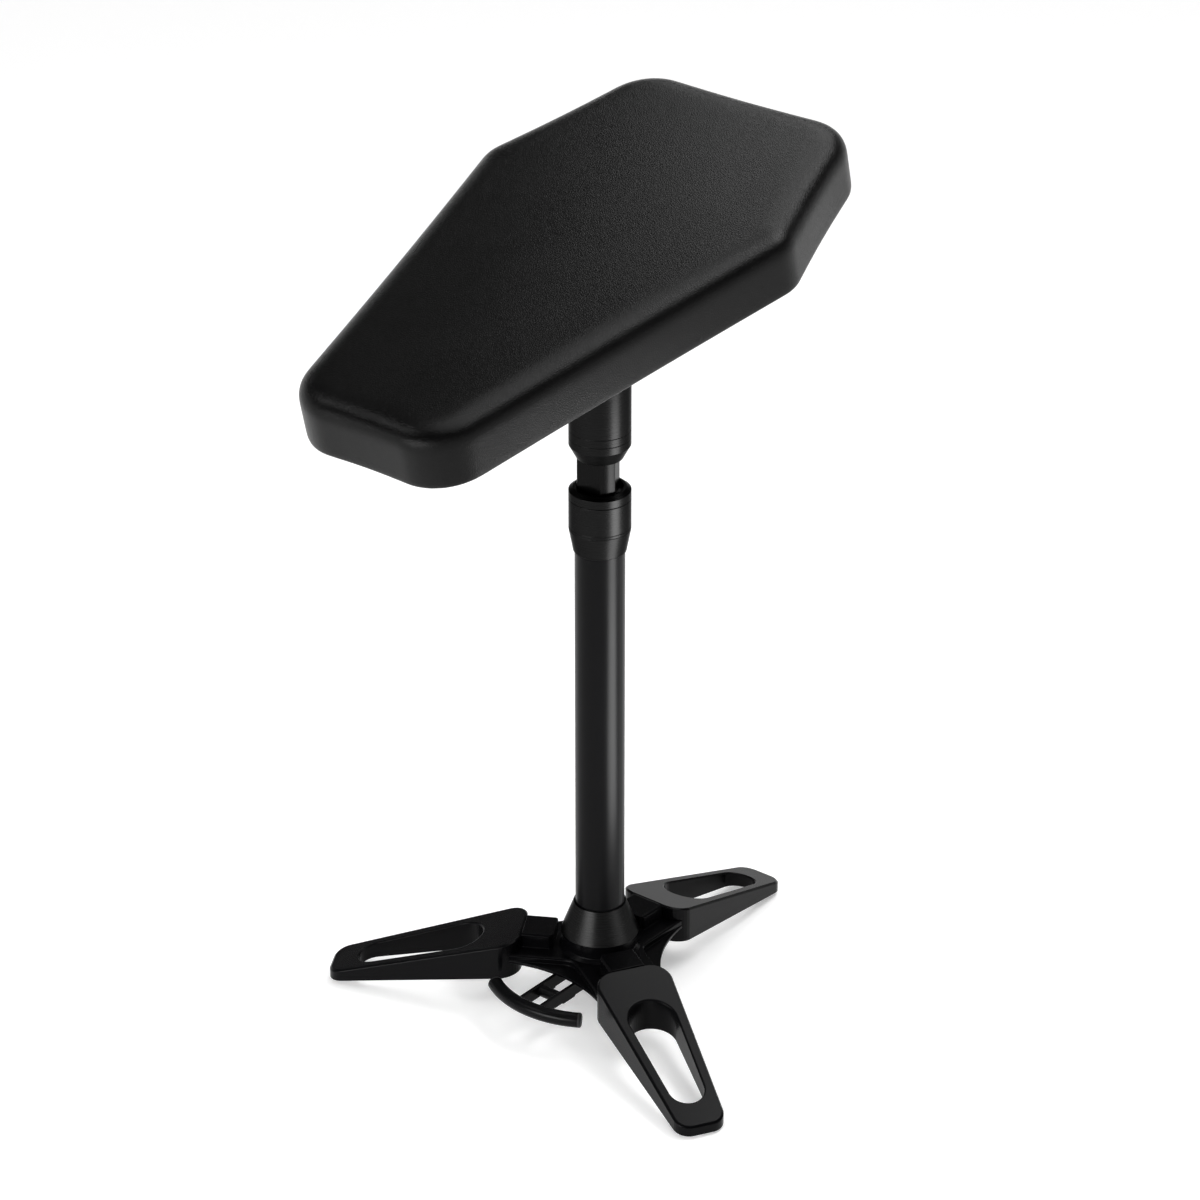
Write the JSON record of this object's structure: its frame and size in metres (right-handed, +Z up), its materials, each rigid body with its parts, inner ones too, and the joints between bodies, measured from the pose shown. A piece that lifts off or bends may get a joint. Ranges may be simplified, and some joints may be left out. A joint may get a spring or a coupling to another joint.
{
  "type": "arm rest stand",
  "caption": "Height-adjustable arm rest on a gas-sprung column with a foot pedal, slotted cast legs and a tilting coffin-shaped padded top.",
  "frame": {"origin": "on the column's axis, at the floor that the three feet stand on", "axes": "+Z is up along the column, +Y is towards the rear leg and the pad's head, -Y is towards the pedal, +X is across the pad"},
  "size_m": [0.4218, 0.5269, 0.7694],
  "materials": {
    "cast_black": "satin",
    "turned_black": "satin",
    "anodised_post": "satin",
    "tube_black": "satin",
    "coated_steel": "satin",
    "zinc_steel": "satin",
    "bare_steel": "satin",
    "chrome_rod": "polished",
    "gland_brass": "satin",
    "foot_rubber": "matte",
    "cap_plastic": "satin",
    "slide_plastic": "matte",
    "washer_plastic": "matte",
    "plywood": "matte",
    "foam": "matte",
    "leatherette": "satin",
    "dust_cloth": "matte"
  },
  "bodies": {
    "base": {"leg_front_right": "cast_black", "leg_front_left": "cast_black", "leg_rear": "cast_black", "foot_front_right": "foot_rubber", "foot_front_left": "foot_rubber", "foot_rear": "foot_rubber", "leg_screws": "zinc_steel", "hub_spider": "cast_black", "hub_cone": "turned_black", "column_tube": "tube_black", "collar_housing": "turned_black", "collar_ring": "turned_black", "guide_bush": "slide_plastic", "gas_rod": "chrome_rod", "gas_piston": "bare_steel", "rod_nut": "zinc_steel", "pivot_pin": "zinc_steel", "pin_clips": "zinc_steel"},
    "valve": {"valve_pin": "bare_steel"},
    "pedal": {"pedal_tube": "coated_steel", "pedal_caps": "cap_plastic", "pedal_plate_right": "coated_steel", "pedal_plate_left": "coated_steel", "pedal_cross": "coated_steel", "striker": "bare_steel"},
    "column_head": {"post": "anodised_post", "lower_slide": "slide_plastic", "gas_cylinder": "coated_steel", "cylinder_gland": "gland_brass", "post_plug": "bare_steel", "head_socket": "turned_black", "socket_screws": "zinc_steel"},
    "pad": {"pad_bracket": "coated_steel", "friction_washers": "washer_plastic", "tilt_bolt": "zinc_steel", "tilt_nut": "zinc_steel", "bracket_screws": "zinc_steel", "t_nuts": "zinc_steel", "pad_board": "plywood", "cushion_foam": "foam", "cushion_cover": "leatherette", "dust_cover": "dust_cloth"},
    "clamp": {"lock_lever": "coated_steel", "lever_grip": "cap_plastic"}
  },
  "joints": [
    {"name": "height_slide", "type": "slide", "parent": "base", "child": "column_head", "axis": [0, 0, 1], "range_m": [-0.02, 0.18]},
    {"name": "pad_tilt", "type": "hinge", "parent": "column_head", "child": "pad", "pos_m": [0, 0, 0.64], "axis": [1, 0, 0], "range_deg": [-28, 46]},
    {"name": "clamp_swing", "type": "hinge", "parent": "pad", "child": "clamp", "pos_m": [0, 0, 0.64], "axis": [1, 0, 0], "range_deg": [0, 60]},
    {"name": "pedal_press", "type": "hinge", "parent": "base", "child": "pedal", "pos_m": [0, -0.022, 0.033], "axis": [1, 0, 0], "range_deg": [0, 9], "stiffness_Nm_per_rad": 6, "springref_deg": -6.88},
    {"name": "valve_push", "type": "slide", "parent": "base", "child": "valve", "axis": [0, 0, 1], "range_m": [0, 0.0036]}
  ],
  "couplings": [
    {"joint": "valve_push", "follows": "pedal_press", "m_per_rad": 0.022}
  ]
}
